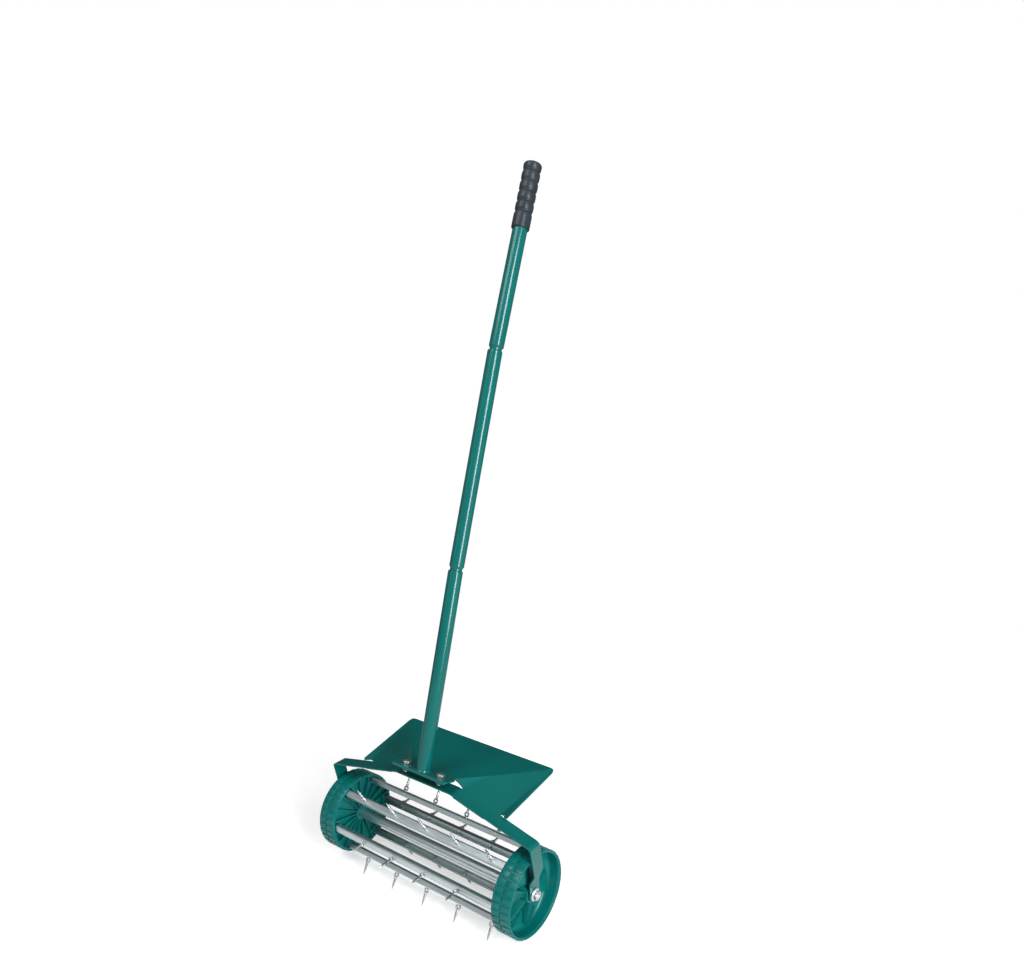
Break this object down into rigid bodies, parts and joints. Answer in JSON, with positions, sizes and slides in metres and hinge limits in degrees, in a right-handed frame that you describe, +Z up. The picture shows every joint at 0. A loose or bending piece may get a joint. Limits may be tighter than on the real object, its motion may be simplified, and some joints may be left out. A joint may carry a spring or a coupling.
{
  "type": "rolling spike aerator",
  "caption": "Rolling lawn spike aerator: a spiked roller between two wheels, a bent yoke with a fender, and a long handle.",
  "frame": {"origin": "middle of the floor of the bounding box, on the plane that the lowest spike tips touch", "axes": "+X along the axle to the right, +Y to the rear, where the handle leans, +Z up"},
  "size_m": [0.4572, 0.4002, 1.2449],
  "materials": {
    "teal_paint": "gloss powder coat",
    "teal_plastic": "glossy moulded",
    "galvanised_steel": "galvanised, satin",
    "spike_steel": "bright zinc plated",
    "zinc_hardware": "bright zinc plated",
    "grip_rubber": "soft matte"
  },
  "bodies": {
    "frame": {"yoke_fender": "teal_paint", "handle_base": "teal_paint", "handle_lower": "teal_paint", "handle_middle": "teal_paint", "handle_upper": "teal_paint", "handle_grip": "grip_rubber", "base_bolt_right": "zinc_hardware", "base_bolt_left": "zinc_hardware", "base_nut_right": "zinc_hardware", "base_nut_left": "zinc_hardware", "axle_rod": "zinc_hardware", "hub_nut_right": "zinc_hardware", "hub_nut_left": "zinc_hardware", "thrust_washer_right": "zinc_hardware", "thrust_washer_left": "zinc_hardware"},
    "roller": {"wheel_right": "teal_plastic", "wheel_left": "teal_plastic", "spacer_tube": "galvanised_steel", "spike_bar_1": "galvanised_steel", "spike_bar_2": "galvanised_steel", "spike_bar_3": "galvanised_steel", "spike_bar_4": "galvanised_steel", "spike_bar_5": "galvanised_steel", "spike_bar_6": "galvanised_steel", "spike_1_1": "spike_steel", "spike_1_2": "spike_steel", "spike_1_3": "spike_steel", "spike_1_4": "spike_steel", "spike_1_5": "spike_steel", "spike_2_1": "spike_steel", "spike_2_2": "spike_steel", "spike_2_3": "spike_steel", "spike_2_4": "spike_steel", "spike_3_1": "spike_steel", "spike_3_2": "spike_steel", "spike_3_3": "spike_steel", "spike_3_4": "spike_steel", "spike_3_5": "spike_steel", "spike_4_1": "spike_steel", "spike_4_2": "spike_steel", "spike_4_3": "spike_steel", "spike_4_4": "spike_steel", "spike_5_1": "spike_steel", "spike_5_2": "spike_steel", "spike_5_3": "spike_steel", "spike_5_4": "spike_steel", "spike_5_5": "spike_steel", "spike_6_1": "spike_steel", "spike_6_2": "spike_steel", "spike_6_3": "spike_steel", "spike_6_4": "spike_steel"}
  },
  "joints": [
    {"name": "roller_spin", "type": "hinge", "parent": "frame", "child": "roller", "pos_m": [0, -0.09668, 0.08953], "axis": [1, 0, 0], "continuous": true}
  ]
}
